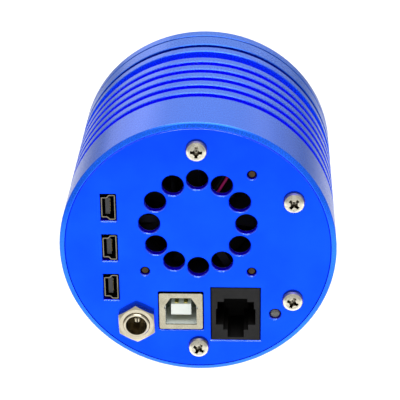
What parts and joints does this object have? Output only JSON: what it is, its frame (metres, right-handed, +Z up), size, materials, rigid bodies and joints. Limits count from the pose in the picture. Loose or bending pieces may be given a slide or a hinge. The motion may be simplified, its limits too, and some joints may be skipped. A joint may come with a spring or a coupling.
{
  "type": "cooled astronomy camera",
  "caption": "Finned cylindrical camera for a telescope, with a cooling fan and sockets on its flat rear cover and a threaded front opening.",
  "frame": {"origin": "centre of the front face, where the telescope thread opens", "axes": "+Y out of the front towards the telescope along the barrel axis, +Z up with the square socket at the bottom, +X right as seen from behind"},
  "size_m": [0.075, 0.0726, 0.075],
  "materials": {
    "blue_anodised": "satin blue anodised",
    "nickel": "nickel plated",
    "steel": "bright zinc",
    "black_steel": "black oxide",
    "black_plastic": "moulded, fine grain",
    "white_plastic": "moulded, smooth",
    "fan_plastic": "moulded, glass filled",
    "magnet": "sintered",
    "bearing_bronze": "sintered bronze",
    "core_steel": "stacked laminations",
    "copper": "enamelled copper",
    "gold": "gold plated",
    "red_wire": "insulation",
    "black_wire": "insulation",
    "lamp": "clear epoxy",
    "board": "green solder mask",
    "chips": "moulded epoxy",
    "aluminium": "machined",
    "ceramic": "fired alumina",
    "pellets": "semiconductor",
    "brass": "turned",
    "sensor_ceramic": "dark ceramic",
    "silicon": "polished die",
    "optical_glass": "coated",
    "seal_rubber": "moulded",
    "black_anodised": "matt black anodised"
  },
  "bodies": {
    "camera": {"main_housing": "blue_anodised", "rear_cover": "blue_anodised", "rear_cover_screws": "nickel", "fan_frame": "fan_plastic", "fan_bearing": "bearing_bronze", "fan_stator": "core_steel", "fan_coils": "copper", "fan_screws": "black_steel", "fan_wire_red": "red_wire", "fan_wire_black": "black_wire", "dc_jack_body": "nickel", "dc_jack_nut": "nickel", "dc_jack_pin": "nickel", "usb_b_shell": "nickel", "usb_b_insert": "white_plastic", "usb_b_contacts": "gold", "guide_jack_contacts": "gold", "guide_jack_body": "black_plastic", "mini_usb_shells": "nickel", "mini_usb_tongues": "black_plastic", "mini_usb_contacts": "gold", "status_led": "lamp", "status_led_pins": "steel", "hub_board": "board", "hub_board_parts": "chips", "socket_board": "board", "socket_board_parts": "chips", "main_board": "board", "main_board_parts": "chips", "sensor_board": "board", "board_posts": "brass", "board_screws": "steel", "heat_sink": "black_anodised", "heat_sink_screws": "steel", "cooler_hot_plate": "ceramic", "cooler_cold_plate": "ceramic", "cooler_pellets": "pellets", "cold_finger": "aluminium", "sensor_package": "sensor_ceramic", "sensor_pins": "gold", "sensor_die": "silicon", "sensor_glass": "optical_glass", "chamber_housing": "blue_anodised", "chamber_seal": "seal_rubber", "chamber_window": "optical_glass", "window_seal": "seal_rubber", "window_ring": "black_anodised", "front_plate": "blue_anodised", "clamp_screws": "black_steel", "squaring_screws": "black_steel"},
    "fan": {"fan_rotor": "fan_plastic", "fan_magnet": "magnet", "fan_shaft": "steel"}
  },
  "joints": [
    {"name": "fan_spin", "type": "hinge", "parent": "camera", "child": "fan", "pos_m": [0.0001, -0.062, 0.0081], "axis": [0, 1, 0], "continuous": true}
  ]
}
